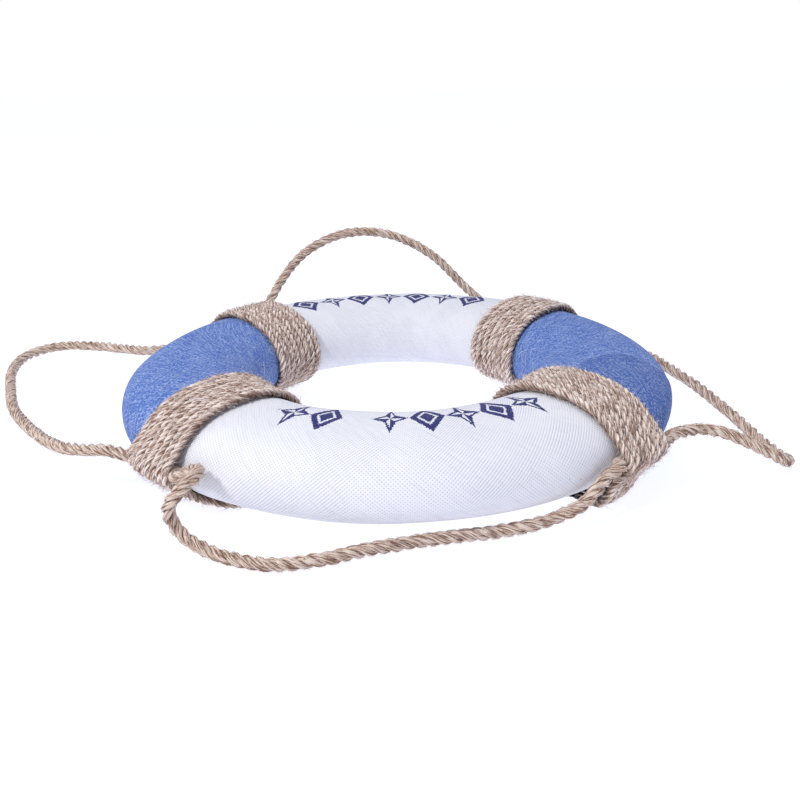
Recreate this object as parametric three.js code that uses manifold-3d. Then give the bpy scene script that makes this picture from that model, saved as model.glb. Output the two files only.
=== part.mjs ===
// Decorative ring lifebuoy: a foam ring in two white and two blue cloth covers, lashed at
// four places with thin jute cord that also holds a thicker jute grab rope in four loops.
// Millimetres, +Z up. The origin is on the floor under the middle of the ring, with the
// ring lying flat. +Y is the back of the ring and -Y the front.

import * as THREE from 'three';
import { mergeVertices } from 'three/addons/utils/BufferGeometryUtils.js';
import Module from 'manifold-3d';

// ---- driving dimensions -------------------------------------------------------------
const ringRadius = 175; // to the outside of the cloth
const tubeHalfWidth = 43; // half of the tube, measured along the ring's radius
const tubeHalfHeight = 24.5;
const sectionPower = 2.2; // 2 is an ellipse, more is boxier
const coverThickness = 0.8; // canvas and its glue
const cordDiameter = 5; // the lashings' cord
const lashingTurns = 8;
const ropeDiameter = 7; // the grab rope
const whiteHalfAngle = 39.8; // degrees from the front or back to a white cover's edge
const seamGap = 0.6; // between two covers' edges, under a lashing
const clearance = 0.3; // between pieces that touch
const footFlat = 0.3; // how far the lowest cords are pressed flat by the floor

// ---- fineness of the solids ---------------------------------------------------------
const ringSides = 48;
const sectionSides = 24;
const ropeSides = 10;
const ropeSteps = 34;

// ---- sizes that follow ---------------------------------------------------------------
const tubeCentre = ringRadius - tubeHalfWidth;
const lashingWidth = lashingTurns * cordDiameter;
const centreHeight = tubeHalfHeight + clearance + cordDiameter - footFlat;
const ropeRadius = ropeDiameter / 2;
const ropeSeat = ringRadius + clearance + ropeRadius; // the rope's middle, under a lashing

// ---- finishes ------------------------------------------------------------------------
const finish = (color, roughness) => new THREE.MeshStandardMaterial({ color, roughness, metalness: 0 });
const foam = finish(0xf4f4f0, 0.9);
const whiteCanvas = finish(0xeef0f6, 0.85);
const blueCotton = finish(0x5b82c4, 0.9);
const juteCord = finish(0xb39c87, 0.95);
const juteRope = finish(0xba9f86, 0.95);

// ---- solids --------------------------------------------------------------------------
const wasm = await Module();
wasm.setup();

function toSolid(geometry) {
  const bare = geometry.index ? geometry.clone() : geometry;
  bare.deleteAttribute('normal');
  bare.deleteAttribute('uv');
  const merged = mergeVertices(bare, 1e-4);
  return new wasm.Manifold(new wasm.Mesh({
    numProp: 3,
    vertProperties: new Float32Array(merged.attributes.position.array),
    triVerts: new Uint32Array(merged.index.array),
  }));
}

function toMesh(name, solid, material) {
  const { vertProperties, triVerts } = solid.getMesh();
  const geometry = new THREE.BufferGeometry();
  geometry.setAttribute('position', new THREE.BufferAttribute(new Float32Array(vertProperties), 3));
  geometry.setIndex(new THREE.BufferAttribute(new Uint32Array(triVerts), 1));
  geometry.computeVertexNormals();
  const mesh = new THREE.Mesh(geometry, material);
  mesh.name = name;
  return mesh;
}

// The tube's cross-section, larger by grow on every side, as (radius, height) points.
function tubeSection(grow) {
  const points = [];
  for (let i = 0; i < sectionSides; i++) {
    const angle = (2 * Math.PI * (i + 0.5)) / sectionSides;
    const across = Math.abs(Math.cos(angle) / (tubeHalfWidth + grow)) ** sectionPower;
    const up = Math.abs(Math.sin(angle) / (tubeHalfHeight + grow)) ** sectionPower;
    const reach = (across + up) ** (-1 / sectionPower);
    points.push(new THREE.Vector2(tubeCentre + reach * Math.cos(angle), reach * Math.sin(angle)));
  }
  return points;
}

// The grab rope's cross-section where it lies along the outside of the ring.
function ropeSection(grow) {
  const points = [];
  for (let i = 0; i < ropeSides; i++) {
    const angle = (2 * Math.PI * (i + 0.5)) / ropeSides;
    points.push(new THREE.Vector2(
      ropeSeat + (ropeRadius + grow) * Math.cos(angle),
      (ropeRadius + grow) * Math.sin(angle),
    ));
  }
  return points;
}

// A taut band round a set of points, anticlockwise: their convex hull.
function tautBand(points) {
  const sorted = [...points].sort((a, b) => a.x - b.x || a.y - b.y);
  const turn = (o, a, b) => (a.x - o.x) * (b.y - o.y) - (a.y - o.y) * (b.x - o.x);
  const chain = (list) => {
    const half = [];
    for (const p of list) {
      while (half.length > 1 && turn(half.at(-2), half.at(-1), p) <= 0) half.pop();
      half.push(p);
    }
    half.pop();
    return half;
  };
  return [...chain(sorted), ...chain(sorted.reverse())];
}

// A section turned all the way round the ring's axis.
function fullRing(section) {
  const closed = [...section, section[0]];
  const geometry = new THREE.LatheGeometry(closed, ringSides);
  geometry.rotateX(Math.PI / 2);
  geometry.translate(0, 0, centreHeight);
  return toSolid(geometry);
}

// The space between two upright planes that are parallel to the ring's radius at this
// angle, from near to far, measured towards larger or smaller angles (side 1 or -1).
function slab(angle, side, near, far) {
  const reach = 2 * ringRadius;
  const box = new THREE.BoxGeometry(reach, far - near, reach);
  box.translate(reach / 2, (side * (near + far)) / 2, centreHeight);
  box.rotateZ(THREE.MathUtils.degToRad(angle));
  return toSolid(box);
}

// Everything from one upright plane to another, going anticlockwise as seen from above.
function sector(fromAngle, fromOffset, toAngle, toOffset) {
  const reach = 2 * ringRadius;
  const along = (angle, offset, distance) => {
    const turn = THREE.MathUtils.degToRad(angle);
    return new THREE.Vector2(
      distance * Math.cos(turn) - offset * Math.sin(turn),
      distance * Math.sin(turn) + offset * Math.cos(turn),
    );
  };
  const near = 2 * lashingWidth; // inside the hole, clear of the tube
  const middle = (fromAngle + toAngle) / 2;
  const outline = new THREE.Shape([
    along(fromAngle, fromOffset, near),
    along(fromAngle, fromOffset, reach),
    along(middle, 0, 2 * reach),
    along(toAngle, toOffset, reach),
    along(toAngle, toOffset, near),
  ]);
  const geometry = new THREE.ExtrudeGeometry(outline, { depth: reach, bevelEnabled: false });
  geometry.translate(0, 0, -reach / 2);
  return toSolid(geometry);
}

// ---- where the white covers end, going round the ring --------------------------------
const corners = [
  { name: 'front_right', angle: -90 + whiteHalfAngle, side: 1 },
  { name: 'back_right', angle: 90 - whiteHalfAngle, side: -1 },
  { name: 'back_left', angle: 90 + whiteHalfAngle, side: 1 },
  { name: 'front_left', angle: 270 - whiteHalfAngle, side: -1 },
];

// ---- the foam ring and its covers ----------------------------------------------------
function foamCore() {
  return fullRing(tubeSection(-coverThickness - clearance));
}

// A cover runs to the middle of the lashing at each of its ends.
function cover(start, end) {
  const middle = lashingWidth / 2;
  const halfGap = seamGap / 2;
  const shell = fullRing(tubeSection(0)).subtract(fullRing(tubeSection(-coverThickness)));
  const startOffset = start.side * middle + halfGap;
  const endOffset = end.side * middle - halfGap;
  const endAngle = end.angle > start.angle ? end.angle : end.angle + 360;
  return shell.intersect(sector(start.angle, startOffset, endAngle, endOffset));
}

// ---- the lashings and the rope under them --------------------------------------------
// Each is the outer shape of its turns of cord: a band round the tube and the rope. Its
// turns lie side by side, so its two faces are parallel, and the white one is square to
// the ring.
function lashing(corner) {
  const inside = tautBand([...tubeSection(clearance), ...ropeSection(clearance)]);
  const grown = clearance + cordDiameter;
  const outside = tautBand([...tubeSection(grown), ...ropeSection(grown)]);
  const band = fullRing(outside).subtract(fullRing(inside));
  const floor = new THREE.BoxGeometry(4 * ringRadius, 4 * ringRadius, ringRadius);
  floor.translate(0, 0, ringRadius / 2);
  return band.intersect(slab(corner.angle, corner.side, 0, lashingWidth)).intersect(toSolid(floor));
}

function ropeUnder(corner) {
  const far = lashingWidth - clearance;
  return fullRing(ropeSection(0)).intersect(slab(corner.angle, corner.side, clearance, far));
}

// ---- the four free loops of the grab rope --------------------------------------------
// Each leaves a lashing's face just outside the ring, and goes back into the next one.
const exitRadius = ringRadius + 8;
const exitGap = ropeRadius + clearance;
const frontExitHeight = 30;
const rightExitHeight = 28.5;
const backExitHeight = 30;
const leftExitHeight = 28;

function exitPoint(corner, onWhiteSide, height) {
  const turn = THREE.MathUtils.degToRad(corner.angle);
  const offset = corner.side * (onWhiteSide ? -exitGap : lashingWidth + exitGap);
  const distance = Math.sqrt(exitRadius ** 2 - offset ** 2);
  return [
    distance * Math.cos(turn) - offset * Math.sin(turn),
    distance * Math.sin(turn) + offset * Math.cos(turn),
    height,
  ];
}

const [frontRight, backRight, backLeft, frontLeft] = corners;

// The front loop turns back on itself at its left end, and then lies on the floor.
const frontRoute = [
  exitPoint(frontLeft, true, frontExitHeight),
  [-110, -144.5, 33], [-102.5, -150, 37.5], [-99.5, -157, 39.8], [-100.5, -164.5, 39.7],
  [-104.5, -169.3, 37.2], [-109.3, -171, 32.8], [-112.8, -169.5, 26.9], [-113, -168, 20.5],
  [-110.4, -168, 14.6], [-106, -170, 10.3], [-99, -174.2, 7.6], [-84, -181, 4.8],
  [-62, -187, 3.8], [-37, -183, 3.8], [-15, -174, 3.8], [20, -165, 3.8], [52, -159, 3.8],
  [73, -156, 6.6], [85.2, -154, 10.5], [92.8, -152.6, 13.6], [98.2, -150.4, 17.4],
  [103.8, -147.2, 23.4], [108.4, -145, 27.4],
  exitPoint(frontRight, true, frontExitHeight),
];
// The right loop droops, and its back leg comes down close to the floor.
const rightRoute = [
  exitPoint(frontRight, false, rightExitHeight),
  [154.5, -98.5, 29.3], [170.4, -90.2, 28.7], [181.7, -89.4, 27.3], [191.6, -92.6, 25.1],
  [200.7, -97, 21.7], [209.8, -100, 17.7], [218.4, -98.8, 12.7], [225, -91.5, 8.6],
  [226, -80.5, 6], [221.4, -60, 7.4], [213.8, -33, 13], [206.7, -14, 17.6],
  [198.7, 4.4, 22.2], [190, 24.8, 25.1], [182.6, 44.5, 27.2], [171.5, 64, 28.2],
  [160.3, 86.2, 28.8],
  exitPoint(backRight, false, rightExitHeight),
];
// The back loop stands up behind the ring.
const backRoute = [
  exitPoint(backRight, true, backExitHeight),
  [105, 149, 29], [96, 156, 29], [86, 163, 32], [75, 169, 38], [62, 173, 48], [50, 175, 60],
  [35, 176, 75], [17, 177, 87], [-3, 177, 95], [-23, 177, 98], [-44, 175, 96],
  [-64, 172, 88], [-78, 168, 78], [-91, 162, 63], [-100, 156, 49], [-107, 150, 38],
  exitPoint(backLeft, true, backExitHeight),
];
// The left loop is the longest, and sags a little towards its far end.
const leftRoute = [
  exitPoint(backLeft, false, leftExitHeight),
  [-159, 98, 28], [-172, 91, 28], [-190, 92, 27], [-210, 102, 26], [-235, 117, 24],
  [-259, 126, 22], [-278, 123, 20], [-287, 103, 19], [-284, 74, 18], [-272, 40, 17.5],
  [-256, 2, 17.5], [-238, -28, 18.5], [-217, -57, 20], [-195, -83, 23.5], [-177, -96, 27],
  [-162, -102, 29],
  exitPoint(frontLeft, false, leftExitHeight),
];

function freeLoop(route) {
  const points = route.map((p) => new THREE.Vector3(...p));
  const path = new THREE.CatmullRomCurve3(points, false, 'catmullrom', 0.5);
  const circle = new THREE.Shape();
  circle.absarc(0, 0, ropeRadius, 0, 2 * Math.PI);
  const options = { steps: ropeSteps, curveSegments: ropeSides / 2, extrudePath: path };
  return toSolid(new THREE.ExtrudeGeometry(circle, options));
}

// ---- the assembly --------------------------------------------------------------------
const lifebuoy = new THREE.Group();
const add = (name, solid, material) => lifebuoy.add(toMesh(name, solid, material));

add('foam_core', foamCore(), foam);
add('white_cover_front', cover(frontLeft, frontRight), whiteCanvas);
add('blue_cover_right', cover(frontRight, backRight), blueCotton);
add('white_cover_back', cover(backRight, backLeft), whiteCanvas);
add('blue_cover_left', cover(backLeft, frontLeft), blueCotton);
for (const corner of corners) {
  add(`lashing_${corner.name}`, lashing(corner), juteCord);
  add(`rope_under_lashing_${corner.name}`, ropeUnder(corner), juteRope);
}
add('grab_rope_front', freeLoop(frontRoute), juteRope);
add('grab_rope_right', freeLoop(rightRoute), juteRope);
add('grab_rope_back', freeLoop(backRoute), juteRope);
add('grab_rope_left', freeLoop(leftRoute), juteRope);

export default lifebuoy;
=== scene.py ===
"""A decorative ring lifebuoy: foam ring, canvas and cotton covers, jute lashings and grab rope."""

import math

import bpy
import numpy as np
from mathutils import Matrix, Vector


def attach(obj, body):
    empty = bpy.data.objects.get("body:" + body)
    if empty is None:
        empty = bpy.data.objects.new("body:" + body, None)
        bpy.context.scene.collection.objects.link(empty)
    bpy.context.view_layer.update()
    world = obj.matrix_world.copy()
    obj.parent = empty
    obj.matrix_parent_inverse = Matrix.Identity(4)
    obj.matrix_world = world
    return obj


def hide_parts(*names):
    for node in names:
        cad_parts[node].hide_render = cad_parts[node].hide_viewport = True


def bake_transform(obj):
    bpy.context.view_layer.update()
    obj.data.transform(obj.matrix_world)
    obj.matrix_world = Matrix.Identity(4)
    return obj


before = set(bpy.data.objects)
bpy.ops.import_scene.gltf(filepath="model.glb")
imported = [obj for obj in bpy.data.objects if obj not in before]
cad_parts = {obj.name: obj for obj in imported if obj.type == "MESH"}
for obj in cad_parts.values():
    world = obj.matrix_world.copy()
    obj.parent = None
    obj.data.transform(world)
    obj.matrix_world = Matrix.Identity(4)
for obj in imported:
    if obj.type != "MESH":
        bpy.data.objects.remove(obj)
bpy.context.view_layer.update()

bl_info = {
    "name": "Ring Lifebuoy",
    "version": (1, 0, 0),
    "blender": (4, 5, 0),
    "location": "3D View > Sidebar > Lifebuoy",
    "description": "Builds a decorative ring lifebuoy with cloth covers, lashings and grab rope",
    "category": "Add Mesh",
}

MM = 0.001
CLEARANCE = 0.0003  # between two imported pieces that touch
CORD_STEP = 0.0011  # between two rings of a cord's or rope's mesh

# Each lashing is at the front (-1) or the back (1), and it goes on from its white cover
# towards its blue one round the ring to larger (1) or smaller (-1) angles.
CORNERS = {
    "front_right": (-1, 1),
    "back_right": (1, -1),
    "back_left": (1, 1),
    "front_left": (-1, -1),
}

# The free loops' routes in metres, from one lashing to the next, without their two ends.
LOOP_ROUTES = {
    "front": [
        (-0.11, -0.1445, 0.033), (-0.1025, -0.15, 0.0375), (-0.0995, -0.157, 0.0398),
        (-0.1005, -0.1645, 0.0397), (-0.1045, -0.1693, 0.0372), (-0.1093, -0.171, 0.0328),
        (-0.1128, -0.1695, 0.0269), (-0.113, -0.168, 0.0205), (-0.1104, -0.168, 0.0146),
        (-0.106, -0.17, 0.0103), (-0.099, -0.1742, 0.0076), (-0.084, -0.181, 0.0048),
        (-0.062, -0.187, 0.0038), (-0.037, -0.183, 0.0038), (-0.015, -0.174, 0.0038),
        (0.02, -0.165, 0.0038), (0.052, -0.159, 0.0038), (0.073, -0.156, 0.0066),
        (0.0852, -0.154, 0.0105), (0.0928, -0.1526, 0.0136), (0.0982, -0.1504, 0.0174),
        (0.1038, -0.1472, 0.0234), (0.1084, -0.145, 0.0274),
    ],
    "right": [
        (0.1545, -0.0985, 0.0293), (0.1704, -0.0902, 0.0287), (0.1817, -0.0894, 0.0273),
        (0.1916, -0.0926, 0.0251), (0.2007, -0.097, 0.0217), (0.2098, -0.1, 0.0177),
        (0.2184, -0.0988, 0.0127), (0.225, -0.0915, 0.0086), (0.226, -0.0805, 0.006),
        (0.2214, -0.06, 0.0074), (0.2138, -0.033, 0.013), (0.2067, -0.014, 0.0176),
        (0.1987, 0.0044, 0.0222), (0.19, 0.0248, 0.0251), (0.1826, 0.0445, 0.0272),
        (0.1715, 0.064, 0.0282), (0.1603, 0.0862, 0.0288),
    ],
    "back": [
        (0.105, 0.149, 0.029), (0.096, 0.156, 0.029), (0.086, 0.163, 0.032),
        (0.075, 0.169, 0.038), (0.062, 0.173, 0.048), (0.05, 0.175, 0.06),
        (0.035, 0.176, 0.075), (0.017, 0.177, 0.087), (-0.003, 0.177, 0.095),
        (-0.023, 0.177, 0.098), (-0.044, 0.175, 0.096), (-0.064, 0.172, 0.088),
        (-0.078, 0.168, 0.078), (-0.091, 0.162, 0.063), (-0.1, 0.156, 0.049),
        (-0.107, 0.15, 0.038),
    ],
    "left": [
        (-0.159, 0.098, 0.028), (-0.172, 0.091, 0.028), (-0.19, 0.092, 0.027),
        (-0.21, 0.102, 0.026), (-0.235, 0.117, 0.024), (-0.259, 0.126, 0.022),
        (-0.278, 0.123, 0.02), (-0.287, 0.103, 0.019), (-0.284, 0.074, 0.018),
        (-0.272, 0.04, 0.0175), (-0.256, 0.002, 0.0175), (-0.238, -0.028, 0.0185),
        (-0.217, -0.057, 0.02), (-0.195, -0.083, 0.0235), (-0.177, -0.096, 0.027),
        (-0.162, -0.102, 0.029),
    ],
}
# Each loop's lashings, its exits' height, which side of them it leaves, and the directions
# in which its bend starts and ends.
LOOPS = {
    "front": (("front_left", "front_right"), 0.030, "white", (0, -0.143), (0, -0.155)),
    "right": (("front_right", "back_right"), 0.0285, "blue", (0.1474, 0), (0.1600, 0)),
    "back": (("back_right", "back_left"), 0.030, "white", (0, 0.143), (0, 0.155)),
    "left": (("back_left", "front_left"), 0.028, "blue", (-0.1474, 0), (-0.1600, 0)),
}


def linear(hex_colour):
    """An sRGB hex colour as linear red, green and blue."""
    parts = [int(hex_colour[i : i + 2], 16) / 255 for i in (1, 3, 5)]
    return [c / 12.92 if c <= 0.04045 else ((c + 0.055) / 1.055) ** 2.4 for c in parts]


# ---- settings ----------------------------------------------------------------------------


def size(name, description, default):
    """A length that a user may change."""
    return bpy.props.FloatProperty(
        name=name, description=description, default=default, min=0, precision=4,
        subtype="DISTANCE", unit="LENGTH",
    )


def rotation(name, description, default):
    """An angle, in radians, that a user may change."""
    return bpy.props.FloatProperty(
        name=name, description=description, default=default, subtype="ANGLE", unit="ROTATION"
    )


def amount(name, description, default):
    """A plain number that a user may change."""
    return bpy.props.FloatProperty(
        name=name, description=description, default=default, subtype="FACTOR", precision=3
    )


def how_many(name, description, default):
    """A whole number that a user may change."""
    return bpy.props.IntProperty(name=name, description=description, default=default, min=1)


def watts(name, description, default):
    """A lamp's power that a user may change."""
    return bpy.props.FloatProperty(
        name=name, description=description, default=default, min=0, unit="POWER"
    )


def colour(name, description, default):
    """A colour that a user may change."""
    return bpy.props.FloatVectorProperty(
        name=name, description=description, default=linear(default), size=3, min=0, max=1,
        subtype="COLOR",
    )


class RingSizes(bpy.types.PropertyGroup):
    """Sizes of the ring and its cloth covers."""

    ring_radius: size("Ring radius", "To the outside of the cloth", 0.175)
    tube_half_width: size("Tube half width", "Half of the tube along the ring's radius", 0.043)
    tube_half_height: size("Tube half height", "Half of the tube's height", 0.0245)
    section_power: amount("Section power", "2 is an ellipse, and more is boxier", 2.2)
    centre_height: size("Centre height", "Middle of the tube above the floor", 0.0295)
    cloth_thickness: size("Cloth thickness", "Of the canvas and the cotton", 0.00045)
    cloth_sink: size("Cloth sink", "Outside of the cloth below its CAD face", 0.0003)
    cloth_lap: size("Cloth lap", "How far a cover laps over itself under the ring", 0.008)
    cloth_step: size("Cloth step", "Side of one square of a cover's mesh", 0.0015)
    seam_gap: size("Seam gap", "Between two covers' edges, under a lashing", 0.0006)
    white_half_angle: rotation(
        "White half angle", "From the front or back to a white cover's end", math.radians(39.8)
    )


class CordSizes(bpy.types.PropertyGroup):
    """Sizes of the lashings' cord and of the grab rope."""

    cord_diameter: size("Cord diameter", "Of the lashings' jute cord", 0.005)
    cord_lay: size("Cord lay", "Length in which its strands turn once", 0.0125)
    turns: how_many("Turns", "Turns of cord in each lashing", 8)
    rope_diameter: size("Rope diameter", "Of the grab rope", 0.007)
    rope_lay: size("Rope lay", "Length in which its strands turn once", 0.0195)
    fibre_radius: size("Fibre radius", "Of the loose jute fibres at their root", 0.00012)
    rope_fibre_length: size("Rope fibre length", "Of its longest loose fibres", 0.0034)
    cord_fibre_length: size("Cord fibre length", "Of its longest loose fibres", 0.0065)
    cord_fibres: how_many("Cord fibres", "Loose fibres on each lashing", 5200)
    rope_fibres: how_many("Rope fibres", "Loose fibres on each metre of grab rope", 5600)


class Finishes(bpy.types.PropertyGroup):
    """Colours of the cloth, ink, jute, foam and floor."""

    canvas: colour("Canvas", "Bleached canvas threads", "#E8E9EF")
    # Painted shade for the valleys of the weave, between the canvas threads.
    canvas_gap_shade: colour("Canvas gap", "Between the canvas threads", "#8E94AE")
    ink: colour("Ink", "Navy stencil ink", "#23286A")
    cotton: colour("Cotton", "Dyed cotton threads", "#527BCB")
    cotton_light: colour("Cotton light", "Its paler threads", "#B8CEF8")
    # Painted shade for the weave's valleys and for the line beside the lap's edge, and the second
    # piece's darker tone.
    cotton_dark_and_shade: colour("Cotton gap", "Between the cotton threads", "#33498C")
    jute_dark: colour("Jute dark", "Jute in the creases", "#94786A")
    jute: colour("Jute", "Most of the jute fibres", "#E3CFC2")
    jute_light: colour("Jute light", "The palest fibres", "#FBF3EC")
    foam: colour("Foam", "White expanded polystyrene", "#F4F4F0")
    floor: colour("Floor", "The acrylic's own shade, under its glow", "#8C8C90")
    floor_glow: colour("Floor glow", "Light that comes up through the floor", "#EEF0FB")


class StageSizes(bpy.types.PropertyGroup):
    """The camera's place, the floor and the strength of the lights."""

    camera_distance: size("Camera distance", "From the middle of the ring", 0.6083)
    camera_height: rotation("Camera height angle", "Above the floor, from the ring", 0.3382)
    camera_lens: bpy.props.FloatProperty(
        name="Camera lens", description="Focal length in millimetres", default=41.39,
        unit="CAMERA",
    )
    floor_size: size("Floor size", "Side of the floor", 12.0)
    sky: amount("Sky", "Strength of the light from all round", 0.56)
    top_light: watts("Top light", "Power of the soft light above", 5.0)
    side_light: watts("Side light", "Power of the light at the left", 13.0)


# ---- meshes ------------------------------------------------------------------------------


class Pile:
    """Points, faces and values at the points, gathered for one piece."""

    def __init__(self):
        self.points, self.faces, self.values, self.count = [], [], {}, 0

    def put(self, points, faces, **values):
        """Adds points (n, 3), faces that number them from 0, and values at the points."""
        self.points.append(points)
        self.faces += [[corner + self.count for corner in face] for face in faces]
        for name, value in values.items():
            self.values.setdefault(name, []).append(value)
        self.count += len(points)

    def piece(self, name, material):
        """The finished object, smooth, with its values as attributes."""
        mesh = bpy.data.meshes.new(name)
        points = np.concatenate(self.points)
        mesh.from_pydata(points.tolist(), [], self.faces)
        for label, parts in self.values.items():
            data = np.concatenate(parts).astype(np.float32)
            kind, field = ("FLOAT_VECTOR", "vector") if data.ndim == 2 else ("FLOAT", "value")
            mesh.attributes.new(label, kind, "POINT").data.foreach_set(field, data.ravel())
        mesh.polygons.foreach_set("use_smooth", [True] * len(mesh.polygons))
        mesh.materials.append(material)
        mesh.update()
        piece = bpy.data.objects.new(name, mesh)
        bpy.context.scene.collection.objects.link(piece)
        return piece


def tube_faces(rings, sides):
    """Faces of a closed tube of this many rings, each of this many points."""
    at = np.arange(rings * sides).reshape(rings, sides)
    beside = np.roll(at, -1, axis=1)
    quads = np.stack([at[:-1], beside[:-1], beside[1:], at[1:]], axis=-1).reshape(-1, 4)
    return quads.tolist() + [at[0][::-1].tolist(), at[-1].tolist()]


def unit(v):
    """Vectors made one long."""
    return v / np.linalg.norm(v, axis=-1, keepdims=True)


def lengths(line):
    """How far along a line each of its points is."""
    return np.concatenate([[0], np.cumsum(np.linalg.norm(np.diff(line, axis=0), axis=1))])


def resample(line, step):
    """A line's points laid out again at equal steps."""
    along = lengths(line)
    where = np.linspace(0, along[-1], max(2, round(along[-1] / step)) + 1)
    return np.stack([np.interp(where, along, line[:, k]) for k in range(3)], axis=1)


def smooth(t):
    """0 to 1 with an easy start and end."""
    t = np.clip(t, 0, 1)
    return t * t * (3 - 2 * t)


def wander(random, along, spacing):
    """A smooth random value from -1 to 1 for each place along a line."""
    knots = random.uniform(-1, 1, int(along[-1] / spacing) + 3)
    at = (along / spacing).astype(int)
    share = smooth(along / spacing - at)
    return knots[at] * (1 - share) + knots[at + 1] * share


def catmull_rom(points, steps):
    """A smooth curve through the points, the same as the CAD's."""
    p = np.array(points, float)
    p = np.vstack([2 * p[0] - p[1], p, 2 * p[-1] - p[-2]])
    t = np.linspace(0, 1, steps, endpoint=False)[:, None]
    parts = []
    for a, b, c, d in zip(p[:-3], p[1:-2], p[2:-1], p[3:]):
        curve = 2 * b + (c - a) * t + (2 * a - 5 * b + 4 * c - d) * t**2
        parts.append(0.5 * (curve + (3 * b - a - 3 * c + d) * t**3))
    return np.vstack(parts + [p[-2:-1]])


# ---- the ring's own shape ----------------------------------------------------------------


def tube_centre(ring):
    """Radius of the middle of the tube."""
    return ring.ring_radius - ring.tube_half_width


def section(ring, angle, grow):
    """Radius and height of the tube's outline at this angle, grown by this much."""
    power = ring.section_power
    across = np.abs(np.cos(angle) / (ring.tube_half_width + grow)) ** power
    up = np.abs(np.sin(angle) / (ring.tube_half_height + grow)) ** power
    reach = (across + up) ** (-1 / power)
    radius = tube_centre(ring) + reach * np.cos(angle)
    return radius, ring.centre_height + reach * np.sin(angle)


def corner_angle(ring, corner):
    """The angle of a lashing's white face, in radians, and the way it goes on from there."""
    front_or_back, side = CORNERS[corner]
    return front_or_back * math.pi / 2 + side * ring.white_half_angle, side


def corner_point(ring, corner, radius, offset, height):
    """A point at this radius, this far past a lashing's white face."""
    angle, side = corner_angle(ring, corner)
    radius, offset, height = np.broadcast_arrays(radius, offset, height)
    distance = np.sqrt(radius**2 - offset**2)
    c, s = math.cos(angle), math.sin(angle)
    return np.stack(
        [distance * c - side * offset * s, distance * s + side * offset * c, height], axis=-1
    )


# ---- jute --------------------------------------------------------------------------------


def carried_frames(line):
    """Two directions across a line at each point, carried along it without twist."""
    ahead = unit(np.gradient(line, axis=0))
    out = [unit(np.cross(ahead[0], (0.3, 0.2, 1.0)))]
    for t in ahead[1:]:
        out.append(unit(out[-1] - np.dot(out[-1], t) * t))
    out = np.array(out)
    return ahead, out, np.cross(ahead, out)


def lay_cord(pile, random, line, frames, diameter, lay, sides, ridges, paleness):
    """Adds a cord of three right-hand-laid strands along a line. Gives the strands' lines.

    Ridges are the yarns that show on each strand, with painted shade between them. A cord
    without them lies beside other turns, so painted shade darkens it where it faces away
    from the frames' outward direction.
    """
    ahead, out, beside = frames
    along = lengths(line)
    strand = diameter / (2 + 4 / math.sqrt(3))  # three touching circles in a round
    ridge_height = 0.09 if ridges else 0.0  # as a share of the strand's radius
    helix = diameter / 2 - strand
    turn = 2 * math.pi / lay
    # The twist is a little uneven along the cord.
    twist = turn * along + 0.25 * wander(random, along, 1.4 * lay)
    strands = []
    for k in range(3):
        angle = twist + k * 2 * math.pi / 3
        c, s = np.cos(angle)[:, None], np.sin(angle)[:, None]
        radial = c * out + s * beside
        middle = line + helix * radial
        forward = unit(ahead + helix * turn * (c * beside - s * out))
        across = np.cross(forward, radial)
        # The yarns of a strand turn the other way, so they lie nearly along the cord.
        yarn_turn = -0.75 * turn * along
        around = np.linspace(0, 2 * math.pi, sides, endpoint=False)
        yarn = around[None, :] - yarn_turn[:, None]
        # A strand is thicker and thinner in places, in long, short and very short waves.
        thick = 1.04
        for change, spacing in ((0.08, 1.1), (0.06, 0.3), (0.05, 0.12)):
            thick = thick + change * wander(random, along, spacing * lay)
        reach = strand * thick[:, None] * (1 + ridge_height * np.cos(ridges * yarn))
        rings = middle[:, None] + reach[..., None] * (
            np.cos(around)[None, :, None] * radial[:, None]
            + np.sin(around)[None, :, None] * across[:, None]
        )
        rings[..., 2] = np.maximum(rings[..., 2], 0)  # nothing is below the floor
        # Painted shade in the creases: from 0, darkest deep between the strands, to 1, none on
        # their crowns.
        height = np.linalg.norm(rings - line[:, None], axis=-1) / (diameter / 2)
        crease = smooth((height - 0.42) / 0.45)
        # Ridged cords get more painted shade between their yarns; the others get painted shade
        # where they face away from the outward direction.
        if ridges:
            crease = (0.2 + 0.8 * crease) * (0.82 + 0.18 * np.cos(ridges * yarn))
        else:
            facing = ((rings - line[:, None]) * out[:, None]).sum(axis=-1) / (diameter / 2)
            crease = (0.5 + 0.5 * crease) * smooth((facing + 0.1) / 0.7)
        # The grain's own places, shifted so that no two strands have the same grain.
        place = np.stack(
            [
                strand * np.cos(yarn) + 0.013 * (k + random.uniform(0, 9)),
                strand * np.sin(yarn),
                np.broadcast_to(along[:, None], yarn.shape),
            ],
            axis=-1,
        )
        # Some strands, and some stretches of them, are paler than others.
        tone = paleness + 0.5 * wander(random, along, 2.2 * lay) + random.uniform(-0.25, 0.25)
        pile.put(
            rings.reshape(-1, 3), tube_faces(len(line), sides), place=place.reshape(-1, 3),
            crease=crease.ravel(), tone=np.broadcast_to(tone[:, None], yarn.shape).ravel(),
        )
        strands.append((middle, radial, forward, across, strand))
    return strands


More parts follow.
